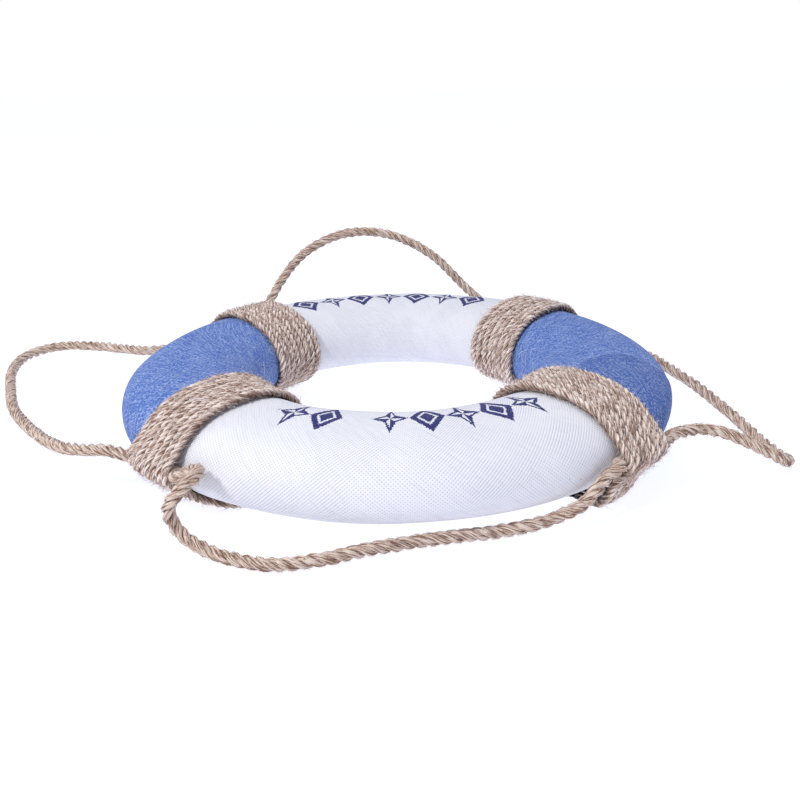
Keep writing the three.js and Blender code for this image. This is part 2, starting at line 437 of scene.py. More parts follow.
def add_fibres(pile, random, strands, number, thick, longest, paleness):
    """Adds loose fibres that stand off the strands, each a bent spike with three sides."""
    faces_of_one = (
        (2, 1, 0), (0, 1, 4, 3), (1, 2, 5, 4), (2, 0, 3, 5), (3, 4, 6), (4, 5, 6), (5, 3, 6)
    )
    which = random.integers(0, len(strands), number)
    for k, (middle, radial, forward, across, strand) in enumerate(strands):
        m = int((which == k).sum())
        at = random.integers(2, len(middle) - 2, m)
        off_crown = random.normal(0, 0.75, m)[:, None]
        normal = np.cos(off_crown) * radial[at] + np.sin(off_crown) * across[at]
        sideways = np.cross(forward[at], normal)
        length = longest * random.uniform(0.25, 1, m)[:, None]
        lean = random.uniform(0.2, 0.8, m)[:, None]
        away = forward[at] * random.choice([-1, 1], m)[:, None]
        bend = random.normal(0, 0.45, m)[:, None]
        first = unit(away + lean * normal + bend * sideways)
        lean = lean + random.normal(0, 0.25, m)[:, None]
        second = unit(away + lean * normal - bend * sideways)
        root = middle[at] + 0.96 * strand * normal
        knees = np.stack([root, root + 0.5 * length * first], axis=1)
        tips = knees[:, 1] + 0.5 * length * second
        for parts in (knees, tips):  # a fibre lies on the floor, not in it
            parts[..., 2] = np.maximum(parts[..., 2], 0.0003)
        u, v = unit(np.cross(first, normal)), normal
        corners = []
        for joint, share in ((0, 1.0), (1, 0.75)):
            for turn in (0, 2.1, 4.2):
                offset = math.cos(turn) * u + math.sin(turn) * v
                corners.append(knees[:, joint] + share * thick * offset)
        corners.append(tips)
        points = np.stack(corners, axis=1)
        each = len(corners)
        faces = [[c + each * i for c in face] for i in range(m) for face in faces_of_one]
        spread = random.uniform(0.3, 2.2, m)
        place = np.repeat(random.uniform(0, 0.05, (m, 3)), each, axis=0)
        # The fibres get no painted crease shade.
        pile.put(
            points.reshape(-1, 3), faces, place=place, crease=np.full(each * m, 1.0),
            tone=np.repeat(paleness + spread, each),
        )


# ---- materials ---------------------------------------------------------------------------


def add(tree, kind, inputs=None, **settings):
    """Adds one node with its settings and its inputs' values or links. Gives its outputs."""
    node = tree.nodes.new("ShaderNode" + kind)
    for name, value in settings.items():
        setattr(node, name, value)
    for socket, value in (inputs or {}).items():
        if isinstance(value, bpy.types.NodeSocket):
            tree.links.new(value, node.inputs[socket])
        else:
            node.inputs[socket].default_value = value
    return node.outputs


def new_material(name):
    """An empty node material and its tree."""
    material = bpy.data.materials.new(name)
    material.use_nodes = True
    material.node_tree.nodes.clear()
    return material, material.node_tree


def rgba(values):
    """A colour with full alpha."""
    return (*values, 1.0)


def finish_surface(tree, colour_socket, height, depth, **shader):
    """The shader, its bump and the output."""
    bump = add(tree, "Bump", {"Height": height, "Distance": depth, "Strength": 1.0})
    inputs = {"Base Color": colour_socket, "Normal": bump[0]}
    inputs.update(shader)
    surface = add(tree, "BsdfPrincipled", inputs)
    add(tree, "OutputMaterial", {"Surface": surface[0]})


# Share of its red, green and blue that jute keeps under the painted shade deep between two
# strands.
JUTE_CREASE_SHADE = (0.42, 0.35, 0.31)


def spun_jute(name, looks, warm):
    """Jute fibre, spun and twisted but not waxed: dull, hairy, streaked along the yarns."""
    material, tree = new_material(name)
    place = add(tree, "Attribute", attribute_name="place")[1]
    tone = add(tree, "Attribute", attribute_name="tone")[2]
    crease = add(tree, "Attribute", attribute_name="crease")[2]
    # Bundles of fibres 0.6 mm wide and 5 mm long, and yarns 1.4 mm wide.
    fine = add(tree, "Mapping", {"Vector": place, "Scale": (1 / 0.0006, 1 / 0.0006, 1 / 0.005)})
    fine = add(tree, "TexNoise", {"Vector": fine[0], "Scale": 1.0, "Detail": 2.0})[0]
    broad = add(tree, "Mapping", {"Vector": place, "Scale": (1 / 0.0014, 1 / 0.0014, 1 / 0.006)})
    broad = add(tree, "TexNoise", {"Vector": broad[0], "Scale": 1.0, "Detail": 1.0})[0]
    fine_part = add(tree, "MapRange", {0: fine, 1: 0.34, 2: 0.66, 3: -1.0, 4: 1.0})
    broad_part = add(tree, "MapRange", {0: broad, 1: 0.32, 2: 0.68, 3: -0.3, 4: 0.3})
    both = add(tree, "Math", {0: fine_part[0], 1: broad_part[0]}, operation="ADD")
    shade = add(tree, "Math", {0: tone, 1: 0.2, 2: both[0]}, operation="MULTIPLY_ADD")
    shade = add(tree, "Math", {0: shade[0], 1: 0.5}, operation="ADD")
    low = add(tree, "MapRange", {0: shade[0], 1: -0.05, 2: 0.5})
    high = add(tree, "MapRange", {0: shade[0], 1: 0.5, 2: 1.05})
    base = add(
        tree, "Mix", {0: low[0], 6: rgba(looks.jute_dark), 7: rgba(looks.jute)}, data_type="RGBA"
    )[2]
    base = add(tree, "Mix", {0: high[0], 6: base, 7: rgba(looks.jute_light)}, data_type="RGBA")[2]
    # The whole takes the cord's own tint, and painted shade makes the creases darker and redder
    # than that.
    tinted = [base]
    for tint in (warm, JUTE_CREASE_SHADE):
        tinted.append(add(
            tree, "Mix", {0: 1.0, 6: tinted[-1], 7: rgba(tint)},
            data_type="RGBA", blend_type="MULTIPLY",
        )[2])
    shown = add(tree, "Mix", {0: crease, 6: tinted[2], 7: tinted[1]}, data_type="RGBA")[2]
    finish_surface(
        tree, shown, fine, 0.0006, Roughness=0.92,
        **{"Specular IOR Level": 0.25, "Sheen Weight": 0.15, "Sheen Roughness": 0.5},
    )
    return material


def plain_weave(tree, place, thread, turn):
    """The two sets of threads of a plain weave. Gives turned place, both threads' heights."""
    turned = add(
        tree, "Mapping", {"Vector": place, "Rotation": (0, 0, turn), "Scale": (1 / thread,) * 3}
    )[0]
    parts = add(tree, "SeparateXYZ", {0: turned})
    heights = []
    for k in (0, 1):
        wave = add(tree, "Math", {0: parts[k], 1: math.pi}, operation="MULTIPLY")
        wave = add(tree, "Math", {0: wave[0]}, operation="SINE")
        heights.append(add(tree, "Math", {0: wave[0]}, operation="ABSOLUTE")[0])
    return turned, heights


def bleached_canvas(looks):
    """Bleached cotton canvas, plain woven on the bias, with navy ink dabbed through a stencil."""
    material, tree = new_material("bleached_canvas_with_stencil_ink")
    place = add(tree, "Attribute", attribute_name="cloth")[1]
    # Threads are 1.47 mm apart, cut on the bias.
    turned, (one, other) = plain_weave(tree, place, 0.00147, math.pi / 4)
    # One set of threads shows most, and in patches both do.
    patch = add(tree, "TexNoise", {"Vector": place, "Scale": 22.0, "Detail": 1.0})[0]
    patch = add(tree, "MapRange", {0: patch, 1: 0.44, 2: 0.54, 3: 0.5, 4: 1.0})[0]
    thread = add(tree, "Mix", {0: patch, 2: one, 3: other})[0]
    crossing = add(tree, "Math", {0: one, 1: other}, operation="MAXIMUM")[0]
    height = add(tree, "Mix", {0: 0.3, 2: thread, 3: crossing})[0]
    slub = add(tree, "Mapping", {"Vector": turned, "Scale": (1.0, 0.07, 1.0)})
    slub = add(tree, "TexNoise", {"Vector": slub[0], "Scale": 1.0, "Detail": 1.0})[0]
    slub = add(tree, "MapRange", {0: slub, 1: 0.3, 2: 0.7, 3: -0.08, 4: 0.08})[0]
    # Painted shade darkens the valleys between the threads; slubs make some threads paler or
    # darker.
    lit = add(tree, "MapRange", {0: height, 1: 0.05, 2: 0.5})[0]
    lit = add(tree, "Math", {0: lit, 1: slub}, operation="ADD", use_clamp=True)[0]
    cloth = add(
        tree, "Mix", {0: lit, 6: rgba(looks.canvas_gap_shade), 7: rgba(looks.canvas)}, data_type="RGBA"
    )[2]
    # A few seed-husk specks, 0.7 mm across and some 15 mm apart.
    speck = add(tree, "TexVoronoi", {"Vector": place, "Scale": 1 / 0.008})
    near = add(tree, "Math", {0: speck[0], 1: 0.045}, operation="LESS_THAN")[0]
    few = add(tree, "SeparateXYZ", {0: speck[1]})[0]
    few = add(tree, "Math", {0: few, 1: 0.72}, operation="GREATER_THAN")[0]
    near = add(tree, "Math", {0: near, 1: few}, operation="MULTIPLY")[0]
    near = add(tree, "Math", {0: near, 1: 0.6}, operation="MULTIPLY")[0]
    husk = rgba((0.12, 0.11, 0.13))
    cloth = add(tree, "Mix", {0: near, 6: cloth, 7: husk}, data_type="RGBA")[2]
    # The print's places run in marks across, and from -1 to 1 along each mark.
    spot = add(tree, "SeparateXYZ", {0: add(tree, "Attribute", attribute_name="print")[1]})
    centred = add(tree, "Math", {0: spot[0], 1: 0.5}, operation="ADD")[0]
    number = add(tree, "Math", {0: centred}, operation="FLOOR")[0]
    across = add(tree, "Math", {0: spot[0], 1: number}, operation="SUBTRACT")[0]
    across = add(tree, "Math", {0: across, 1: 2.05}, operation="MULTIPLY")[0]
    flat = add(tree, "CombineXYZ", {0: across, 1: spot[1]})[0]
    reach = add(tree, "VectorMath", {0: flat}, operation="LENGTH")[1]
    angle = add(tree, "Math", {0: spot[1], 1: across}, operation="ARCTAN2")[0]
    fold = add(tree, "Math", {0: angle, 1: math.pi / 4}, operation="PINGPONG")[0]
    quarter = add(tree, "Math", {0: angle, 1: math.pi / 2}, operation="FLOORED_MODULO")[0]
    facet = add(tree, "Math", {0: quarter, 1: math.pi / 4}, operation="GREATER_THAN")[0]
    cosine = add(tree, "Math", {0: fold}, operation="COSINE")[0]
    sine = add(tree, "Math", {0: fold}, operation="SINE")[0]
    x = add(tree, "Math", {0: reach, 1: cosine}, operation="MULTIPLY")[0]
    y = add(tree, "Math", {0: reach, 1: sine}, operation="MULTIPLY")[0]
    # Every other mark is a diamond, and the rest are stars with four points and a rim.
    odd = add(tree, "Math", {0: number, 1: 2.0}, operation="FLOORED_MODULO")[0]
    waist = add(tree, "MapRange", {0: odd, 3: 0.3, 4: 0.5})[0]
    inner = add(tree, "Math", {0: 1.0, 1: x}, operation="SUBTRACT")[0]
    inner = add(tree, "Math", {0: inner, 1: waist}, operation="MULTIPLY")[0]
    outer = add(tree, "Math", {0: 1.0, 1: waist}, operation="SUBTRACT")[0]
    outer = add(tree, "Math", {0: outer, 1: y}, operation="MULTIPLY")[0]
    depth = add(tree, "Math", {0: inner, 1: outer}, operation="SUBTRACT")[0]
    rough = add(tree, "TexNoise", {"Vector": place, "Scale": 1 / 0.0012, "Detail": 1.0})[0]
    ragged = add(tree, "MapRange", {0: rough, 1: 0.3, 2: 0.7, 3: -0.03, 4: 0.03})[0]
    depth = add(tree, "Math", {0: depth, 1: ragged}, operation="ADD")[0]
    inside = add(tree, "Math", {0: depth, 1: 0.0}, operation="GREATER_THAN")[0]
    band = add(tree, "Math", {0: depth, 1: waist}, operation="DIVIDE")[0]
    rim = add(tree, "Math", {0: band, 1: 0.3}, operation="LESS_THAN")[0]
    solid = add(tree, "Math", {0: facet, 1: rim}, operation="MAXIMUM")[0]
    solid = add(tree, "Math", {0: solid, 1: odd}, operation="MAXIMUM")[0]
    gap = add(tree, "Math", {0: band, 1: 0.47, 2: 0.08}, operation="COMPARE")[0]
    gap = add(tree, "Math", {0: gap, 1: odd}, operation="MULTIPLY")[0]
    solid = add(tree, "Math", {0: solid, 1: gap}, operation="SUBTRACT")[0]
    ink = add(tree, "Math", {0: inside, 1: solid}, operation="MULTIPLY")[0]
    ink = add(tree, "Math", {0: ink, 1: spot[2]}, operation="MULTIPLY")[0]
    # The ink missed the lowest parts of the weave.
    caught = add(tree, "Math", {0: lit, 1: 0.7, 2: rough}, operation="MULTIPLY_ADD")[0]
    caught = add(tree, "MapRange", {0: caught, 1: 0.58, 2: 0.78})[0]
    ink = add(tree, "Math", {0: ink, 1: caught}, operation="MULTIPLY")[0]
    shown = add(tree, "Mix", {0: ink, 6: cloth, 7: rgba(looks.ink)}, data_type="RGBA")[2]
    finish_surface(
        tree, shown, height, 0.00018, Roughness=0.9,
        **{"Specular IOR Level": 0.25, "Sheen Weight": 0.1, "Sheen Roughness": 0.5},
    )
    return material


def dyed_cotton(looks):
    """Yarn-dyed cotton in a loose plain weave: matt, with paler slubbed threads."""
    material, tree = new_material("dyed_plain_weave_cotton")
    place = add(tree, "Attribute", attribute_name="cloth")[1]
    # Threads are 1.2 mm apart and lie across the ring on the slant.
    turned, (one, other) = plain_weave(tree, place, 0.0012, 0.6)
    crossing = add(tree, "Math", {0: one, 1: other}, operation="MULTIPLY")[0]
    level = add(tree, "Math", {0: one, 1: other}, operation="ADD")[0]
    level = add(tree, "Math", {0: level, 1: 0.5}, operation="MULTIPLY")[0]
    height = add(tree, "Mix", {0: 0.4, 2: level, 3: crossing})[0]
    # The threads of each set are paler in places along their length.
    streaks = []
    for stretch in ((1.0, 0.06, 1.0), (0.06, 1.0, 1.0)):
        yarn = add(tree, "Mapping", {"Vector": turned, "Scale": stretch})
        yarn = add(tree, "TexNoise", {"Vector": yarn[0], "Scale": 1.0, "Detail": 2.0})[0]
        streaks.append(add(tree, "MapRange", {0: yarn, 1: 0.38, 2: 0.64, 3: -0.5, 4: 0.5})[0])
    streak = add(tree, "Math", {0: streaks[0], 1: streaks[1]}, operation="ADD")[0]
    mottle = add(tree, "TexNoise", {"Vector": place, "Scale": 1 / 0.0014, "Detail": 3.0})[0]
    mottle = add(tree, "MapRange", {0: mottle, 1: 0.38, 2: 0.62, 3: -0.8, 4: 0.8})[0]
    light = add(tree, "Math", {0: streak, 1: 0.9, 2: mottle}, operation="MULTIPLY_ADD")[0]
    light = add(tree, "Math", {0: light, 1: 0.3}, operation="ADD", use_clamp=True)[0]
    base = add(
        tree, "Mix", {0: light, 6: rgba(looks.cotton), 7: rgba(looks.cotton_light)},
        data_type="RGBA",
    )[2]
    # Painted shade darkens the valleys between the threads.
    lit = add(tree, "MapRange", {0: height, 1: 0.12, 2: 0.72})[0]
    shown = add(tree, "Mix", {0: lit, 6: rgba(looks.cotton_dark_and_shade), 7: base}, data_type="RGBA")[2]
    # The second piece of cloth is darker, and its cut edge is paler, with a shadow beside it.
    edge = add(tree, "Attribute", attribute_name="lap_edge")[2]
    second = add(tree, "Math", {0: edge, 1: 0.0}, operation="GREATER_THAN")[0]
    second = add(tree, "Math", {0: second, 1: 0.3}, operation="MULTIPLY")[0]
    shown = add(tree, "Mix", {0: second, 6: shown, 7: rgba(looks.cotton_dark_and_shade)}, data_type="RGBA")[2]
    pale = add(tree, "Math", {0: edge, 1: 0.6, 2: 0.6}, operation="COMPARE")[0]
    pale = add(tree, "Math", {0: pale, 1: 0.75}, operation="MULTIPLY")[0]
    # A painted shadow beside the lap's cut edge.
    dark = add(tree, "Math", {0: edge, 1: -0.5, 2: 0.5}, operation="COMPARE")[0]
    dark = add(tree, "Math", {0: dark, 1: 0.6}, operation="MULTIPLY")[0]
    shown = add(tree, "Mix", {0: pale, 6: shown, 7: rgba(looks.cotton_light)}, data_type="RGBA")[2]
    shown = add(tree, "Mix", {0: dark, 6: shown, 7: rgba(looks.cotton_dark_and_shade)}, data_type="RGBA")[2]
    finish_surface(
        tree, shown, height, 0.0002, Roughness=0.92,
        **{"Specular IOR Level": 0.2, "Sheen Weight": 0.08, "Sheen Roughness": 0.4},
    )
    return material


def loose_thread(name, shade):
    """Thread too thin to show its strands: matt, with a little light and dark from its twist."""
    material, tree = new_material(name)
    where = add(tree, "TexCoord")[3]
    twist = add(tree, "TexNoise", {"Vector": where, "Scale": 1 / 0.0006, "Detail": 1.0})[0]
    dark = rgba([0.72 * c for c in shade])
    shown = add(tree, "Mix", {0: twist, 6: dark, 7: rgba(shade)}, data_type="RGBA")[2]
    finish_surface(tree, shown, twist, 0.0001, Roughness=0.85)
    return material


def polystyrene(looks):
    """Expanded polystyrene as moulded: white beads 3 mm across with fine dark joints."""
    material, tree = new_material("moulded_expanded_polystyrene")
    where = add(tree, "TexCoord")[3]
    bead = add(
        tree, "TexVoronoi", {"Vector": where, "Scale": 1 / 0.003}, feature="DISTANCE_TO_EDGE"
    )[0]
    bead = add(tree, "MapRange", {0: bead, 1: 0.0, 2: 0.12})[0]
    shown = add(
        tree, "Mix", {0: bead, 6: rgba([0.8 * c for c in looks.foam]), 7: rgba(looks.foam)},
        data_type="RGBA",
    )[2]
    finish_surface(tree, shown, bead, 0.0002, Roughness=0.75)
    return material


def studio_floor(looks):
    """White acrylic table top, lit a little from below, with a faint unevenness."""
    material, tree = new_material("backlit_white_acrylic")
    where = add(tree, "TexCoord")[3]
    grain = add(tree, "TexNoise", {"Vector": where, "Scale": 3.0, "Detail": 2.0})[0]
    shown = add(
        tree, "Mix", {0: grain, 6: rgba([0.98 * c for c in looks.floor]), 7: rgba(looks.floor)},
        data_type="RGBA",
    )[2]
    surface = add(
        tree, "BsdfPrincipled",
        {
            "Base Color": shown, "Roughness": 0.9, "Specular IOR Level": 0.1,
            "Emission Color": rgba(looks.floor_glow), "Emission Strength": 1.0,
        },
    )
    add(tree, "OutputMaterial", {"Surface": surface[0]})
    return material


# ---- operators ---------------------------------------------------------------------------


class LIFEBUOY_OT_stage(bpy.types.Operator):
    """Sets the camera, the pale floor and the soft white lights"""

    bl_idname = "lifebuoy.stage"
    bl_label = "Set the Stage"

    def execute(self, context):
        stage, scene = context.scene.lifebuoy_stage, context.scene
        scene.view_settings.view_transform = "Standard"
        self.place_camera(scene, stage, scene.lifebuoy_ring.centre_height)
        bpy.ops.mesh.primitive_grid_add(x_subdivisions=2, y_subdivisions=2, size=stage.floor_size)
        floor = context.object
        floor.name = "studio_floor"
        floor.location.z = -0.0002  # just clear of what lies on it
        floor.data.materials.append(studio_floor(scene.lifebuoy_finishes))
        scene.world = self.surroundings(stage)
        # Each lamp's name, place, side, power and tint. Both point at the middle of the ring.
        lamps = (
            ("soft_top_light", (0.1, 0.2, 1.5), 1.2, stage.top_light, "#FFFFFF"),
            ("left_light", (-0.74, -0.84, 1.15), 0.22, stage.side_light, "#FFFDFA"),
        )
        for name, place, side, power, tint in lamps:
            light = bpy.data.lights.new(name, "AREA")
            light.shape, light.size, light.energy = "SQUARE", side, power
            light.color = linear(tint)
            lamp = bpy.data.objects.new(name, light)
            lamp.location = place
            aim = Vector((0, 0, 0.02)) - Vector(place)
            lamp.rotation_euler = aim.to_track_quat("-Z", "Y").to_euler()
            scene.collection.objects.link(lamp)
        return {"FINISHED"}

    def surroundings(self, stage):
        """Even light from all round, before a pure white background."""
        world = bpy.data.worlds.new("white_surroundings")
        world.use_nodes = True
        tree = world.node_tree
        tree.nodes.clear()
        light = add(tree, "Background", {"Color": rgba(linear("#EEF1FF")), "Strength": stage.sky})
        backdrop = add(tree, "Background", {"Color": rgba(linear("#FFFFFF")), "Strength": 1.0})
        seen = add(tree, "LightPath")[0]
        mixed = add(tree, "MixShader", {0: seen, 1: light[0], 2: backdrop[0]})
        add(tree, "OutputWorld", {"Surface": mixed[0]})
        return world

    def place_camera(self, scene, stage, target):
        """The camera stands in front of the ring and looks down on it a little."""
        data = bpy.data.cameras.new("camera")
        data.sensor_width, data.lens = 36.0, stage.camera_lens
        data.clip_start, data.clip_end = 0.01, 100.0
        height, distance = stage.camera_height, stage.camera_distance
        place = Vector((0, -distance * math.cos(height), distance * math.sin(height) + target))
        # Radians: it looks a little below the ring's middle and to the right, and leans.
        down, swing, roll = height + 0.0194, 0.0039, 0.0209
        ahead = Vector((
            math.sin(swing) * math.cos(down), math.cos(swing) * math.cos(down), -math.sin(down)
        ))
        right = Vector((math.cos(swing), -math.sin(swing), 0))
        up = right.cross(ahead)
        right, up = (
            right * math.cos(roll) - up * math.sin(roll),
            right * math.sin(roll) + up * math.cos(roll),
        )
        camera = bpy.data.objects.new("camera", data)
        turn = Matrix((right, up, -ahead)).transposed().to_4x4()
        camera.matrix_world = Matrix.Translation(place) @ turn
        scene.collection.objects.link(camera)
        scene.camera = camera


class LIFEBUOY_OT_grab_rope(bpy.types.Operator):
    """Lays the four free loops of jute grab rope"""

    bl_idname = "lifebuoy.grab_rope"
    bl_label = "Lay the Grab Rope"

    # Where a loop leaves its lashing and where its hidden end is: how far each is beyond the
    # outside of the ring, and how far the end is tucked under the lashing.
    EXIT_REACH, TUCKED_REACH, TUCKED = 0.008, 0.0045, 0.004
    SIDES, RIDGES = 24, 8  # of each strand's mesh, and the yarns that show on it
    TONE = 0.25  # lighter than middling jute

    def execute(self, context):
        scene = context.scene
        ring, cords, looks = scene.lifebuoy_ring, scene.lifebuoy_cords, scene.lifebuoy_finishes
        jute = spun_jute("laid_jute_rope", looks, linear("#F2EAE3"))
        for seed, (name, route) in enumerate(LOOP_ROUTES.items()):
            self.lay_loop(ring, cords, jute, name, route, np.random.default_rng(40 + seed))
        return {"FINISHED"}

    def lay_loop(self, ring, cords, jute, name, route, random):
        """One loop, from a little way inside one lashing to a little way inside the next."""
        corners, height, side, start, end = LOOPS[name]
        width = cords.turns * cords.cord_diameter
        gap = cords.rope_diameter / 2 + CLEARANCE
        out, hidden = -gap, self.TUCKED
        if side == "blue":
            out, hidden = width - out, width - hidden
        exits = ring.ring_radius + self.EXIT_REACH
        seat = ring.ring_radius + self.TUCKED_REACH
        ends = [corner_point(ring, c, exits, out, height) for c in corners]
        tucked = [corner_point(ring, c, seat, hidden, ring.centre_height) for c in corners]
        line = catmull_rom([tucked[0], ends[0], *route, ends[1], tucked[1]], 24)
        line = resample(line, CORD_STEP)
        pile = Pile()
        strands = lay_cord(
            pile, random, line, carried_frames(line), cords.rope_diameter, cords.rope_lay,
            self.SIDES, self.RIDGES, self.TONE,
        )
        length = lengths(line)[-1]
        add_fibres(
            pile, random, strands, int(cords.rope_fibres * length), cords.fibre_radius,
            cords.rope_fibre_length, self.TONE,
        )
        rope = pile.piece(f"laid_rope_{name}", jute)
        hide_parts(f"grab_rope_{name}")
        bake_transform(rope)


class LIFEBUOY_OT_lashings(bpy.types.Operator):
    """Winds the four lashings of thin jute cord"""

    bl_idname = "lifebuoy.lashings"
    bl_label = "Wind the Lashings"

    SIDES = 10  # of each strand's mesh
    STEP_INSIDE = 0.022  # from the middle of the tube to where the turns step across
    SPREAD = 0.014  # how far the front left one's first turns stray under the ring
    SAG = 0.0078  # how far the front right one's first turns hang off the cloth
    TONES = {"front_left": -0.05, "front_right": 0.15, "back_left": 0.1, "back_right": 0.25}

    def execute(self, context):
        scene = context.scene
        ring, cords, looks = scene.lifebuoy_ring, scene.lifebuoy_cords, scene.lifebuoy_finishes
        jute = spun_jute("spun_jute_cord", looks, linear("#FBF7F6"))
        band = self.taut_band(ring, cords)
        for seed, corner in enumerate(CORNERS):
            random = np.random.default_rng(70 + seed)
            line, frames = self.winding(ring, cords, corner, band, random)
            pile = Pile()
            strands = lay_cord(
                pile, random, line, frames, cords.cord_diameter, cords.cord_lay,
                self.SIDES, 0, self.TONES[corner],
            )
            add_fibres(
                pile, random, strands, cords.cord_fibres, cords.fibre_radius,
                cords.cord_fibre_length, self.TONES[corner],
            )
            lashing = pile.piece(f"jute_lashing_{corner}", jute)
            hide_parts(f"lashing_{corner}")
            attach(lashing, "ring")
        return {"FINISHED"}

    def taut_band(self, ring, cords):
        """The cord's middle line round the tube and the grab rope, as radius and height."""
        angle = np.linspace(0, 2 * math.pi, 720, endpoint=False)
        grow = CLEARANCE + cords.cord_diameter / 2
        radius, height = section(ring, angle, grow)
        reach = cords.rope_diameter / 2 + grow
        seat = ring.ring_radius + CLEARANCE + cords.rope_diameter / 2
        radius = np.concatenate([radius, seat + reach * np.cos(angle)])
        height = np.concatenate([height, ring.centre_height + reach * np.sin(angle)])
        points = sorted(zip(radius.tolist(), height.tolist()))

        def chain(ordered):
            """One side of the tightest line round the points, the upper or the lower one."""
            kept = []
            for p in ordered:
                while len(kept) > 1:
                    (ax, ay), (bx, by) = kept[-2:]
                    if (bx - ax) * (p[1] - ay) - (by - ay) * (p[0] - ax) > 0:
                        break
                    kept.pop()
                kept.append(p)
            return kept[:-1]

        hull = np.array(chain(points) + chain(points[::-1]))
        # It starts under the ring, on the hole's side, where the turns step across.
        under = np.hypot(hull[:, 0] - tube_centre(ring) + self.STEP_INSIDE, hull[:, 1])
        hull = np.roll(hull, -int(under.argmin()), axis=0)
        hull = np.vstack([hull, hull[:1]])
        return resample(np.column_stack([hull, np.zeros(len(hull))]), CORD_STEP)[:, :2]

    def winding(self, ring, cords, corner, band, random):
        """The cord's middle line through all its turns, and directions across it."""
        radius, height, offset = [], [], []
        share = np.linspace(0, 1, len(band))[:-1]
        step_over = smooth((share - 0.84) / 0.16)  # at the end of each turn but the last
        for turn in range(cords.turns):
            last = turn == cords.turns - 1
            radius.append(band[:-1, 0])
            height.append(band[:-1, 1])
            offset.append(cords.cord_diameter * (turn + 0.5 + (0 if last else step_over)))
        radius, height = np.concatenate(radius), np.concatenate(height)
        offset = np.concatenate([np.broadcast_to(o, share.shape) for o in offset])
        along = np.arange(len(radius)) * CORD_STEP
        # The turns stray a little sideways, and lie a little loose over the top of the ring.
        offset = offset + 0.0003 * wander(random, along, 0.03)
        loose = 0.00035 * (1 + wander(random, along, 0.045))
        middle, level = tube_centre(ring), ring.centre_height
        away = np.stack([radius - middle, 1.7 * (height - level)], axis=1)
        away /= np.linalg.norm(away, axis=1, keepdims=True)
        top = height > level - 0.5 * ring.tube_half_height
        radius = radius + loose * away[:, 0] * top
        height = height + loose * away[:, 1] * top
        # Degrees round the tube: 0 on the ring's outer side and -90 underneath.
        around = np.degrees(np.arctan2(height - level, radius - middle))
        if corner == "front_left":  # its first turns spread under the ring
            under = smooth((around + 135) / 30) * smooth((-24 - around) / 34)
            offset = offset - self.SPREAD * under * smooth((0.024 - offset) / 0.024)
        if corner == "front_right":  # its first turns sag at the lower outside
            sag = smooth((around + 84) / 30) * smooth((-6 - around) / 30)
            sag = self.SAG * sag * smooth((0.034 - offset) / 0.014)
            radius, height = radius + sag * away[:, 0], height + sag * away[:, 1]
        line = corner_point(ring, corner, radius, offset, height)
        angle, side = corner_angle(ring, corner)
        axis = np.array([-side * math.sin(angle), side * math.cos(angle), 0])
        ahead = unit(np.gradient(line, axis=0))
        out = side * unit(np.cross(axis, ahead))
        return line, (ahead, out, np.cross(ahead, out))


